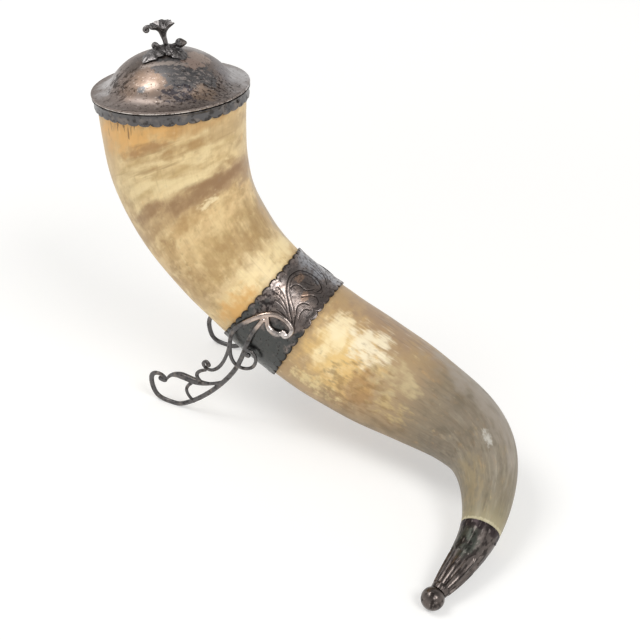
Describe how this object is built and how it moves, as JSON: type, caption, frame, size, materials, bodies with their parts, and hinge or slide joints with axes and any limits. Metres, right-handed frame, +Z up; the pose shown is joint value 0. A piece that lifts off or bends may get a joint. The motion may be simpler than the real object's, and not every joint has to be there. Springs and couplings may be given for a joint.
{
  "type": "lidded drinking horn on feet",
  "caption": "Curved natural drinking horn with scalloped metal rim and belly band, lift-off domed lid with flower finial, openwork scroll feet and fluted tip cap ending in a ball.",
  "frame": {"origin": "middle of the footprint's bounding box, on the surface that the feet and the ball stand on", "axes": "+Z up; +X from the lid towards the tip; the tip turns towards -Y, the side that the picture shows"},
  "size_m": [0.2955, 0.1693, 0.2615],
  "materials": {
    "horn": "polished cattle horn, honey to olive",
    "plate": "worn silver plate on brass, tarnished",
    "dark_plate": "dark tarnished silver plate on brass"
  },
  "bodies": {
    "horn": {"horn_body": "horn", "rim_collar": "dark_plate", "rim_pin_1": "dark_plate", "rim_pin_2": "dark_plate", "rim_pin_3": "dark_plate", "band_sleeve": "plate", "band_pin_1": "dark_plate", "band_pin_2": "dark_plate", "near_foot": "dark_plate", "far_foot": "dark_plate", "tip_cap": "dark_plate", "cap_pin_1": "dark_plate", "cap_pin_2": "dark_plate", "tip_ball": "dark_plate"},
    "lid": {"lid_dome": "plate", "lid_bezel": "plate", "finial_leaves": "dark_plate", "finial_flower": "dark_plate", "finial_bud": "dark_plate", "finial_washer": "dark_plate", "finial_nut": "dark_plate"}
  },
  "joints": [
    {"name": "lid_lift", "type": "slide", "parent": "horn", "child": "lid", "axis": [-0.0745, 0.0407, 0.9964], "range_m": [0, 0.06]}
  ]
}
